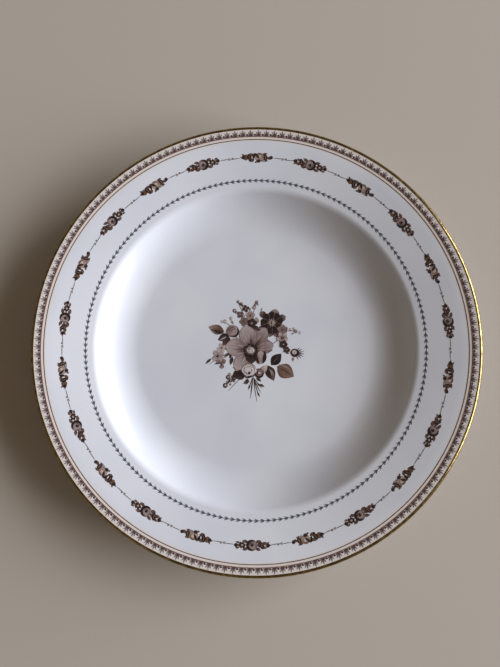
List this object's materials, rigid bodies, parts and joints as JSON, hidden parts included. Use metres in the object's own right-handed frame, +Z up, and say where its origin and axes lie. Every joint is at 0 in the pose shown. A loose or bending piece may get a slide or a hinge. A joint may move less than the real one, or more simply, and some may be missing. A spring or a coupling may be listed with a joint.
{
  "type": "dinner plate",
  "caption": "Round white porcelain dinner plate with a sloped rim, a shallow well, a foot ring, a printed lace border, flower garlands, a leaf chain and a central bouquet, and a gilt lip.",
  "frame": {"origin": "middle of the foot ring, on the table the plate stands on", "axes": "+Z up out of the well, along the plate's axis; +Y towards the top of the bouquet and +X to its right, seen from above"},
  "size_m": [0.26, 0.26, 0.0245],
  "materials": {
    "biscuit": "fired, unglazed, smooth matt",
    "glaze": "clear glossy glaze over white porcelain",
    "gilding": "burnished gold, worn soft",
    "lace_print": "grey-violet enamel print",
    "tan_line": "tan enamel line",
    "brown_line": "brown enamel line",
    "rose_print": "sepia enamel print",
    "blossom_print": "sepia enamel print",
    "thread_print": "pale grey enamel print",
    "chain_print": "dark grey-violet enamel print",
    "petal_print": "pale pink-brown enamel print",
    "dark_petal_print": "dark sepia enamel print",
    "bouquet_rose_print": "pale sepia enamel print",
    "small_flower_print": "sepia enamel print",
    "leaf_print": "dark olive-brown enamel print",
    "sprig_print": "grey enamel print",
    "stem_print": "brown enamel print"
  },
  "bodies": {
    "root": {"biscuit_body": "biscuit", "glaze_coat": "glaze", "base_glaze": "glaze", "gilt_edge": "gilding", "lace_border": "lace_print", "lace_line": "tan_line", "inner_line": "brown_line", "rose_sprays": "rose_print", "blossom_sprays": "blossom_print", "link_threads": "thread_print", "leaf_chain": "chain_print", "bouquet_anemone": "petal_print", "bouquet_dark_flower": "dark_petal_print", "bouquet_roses": "bouquet_rose_print", "bouquet_small_flowers": "small_flower_print", "bouquet_leaves": "leaf_print", "bouquet_sprigs": "sprig_print", "bouquet_stems": "stem_print"}
  },
  "joints": []
}
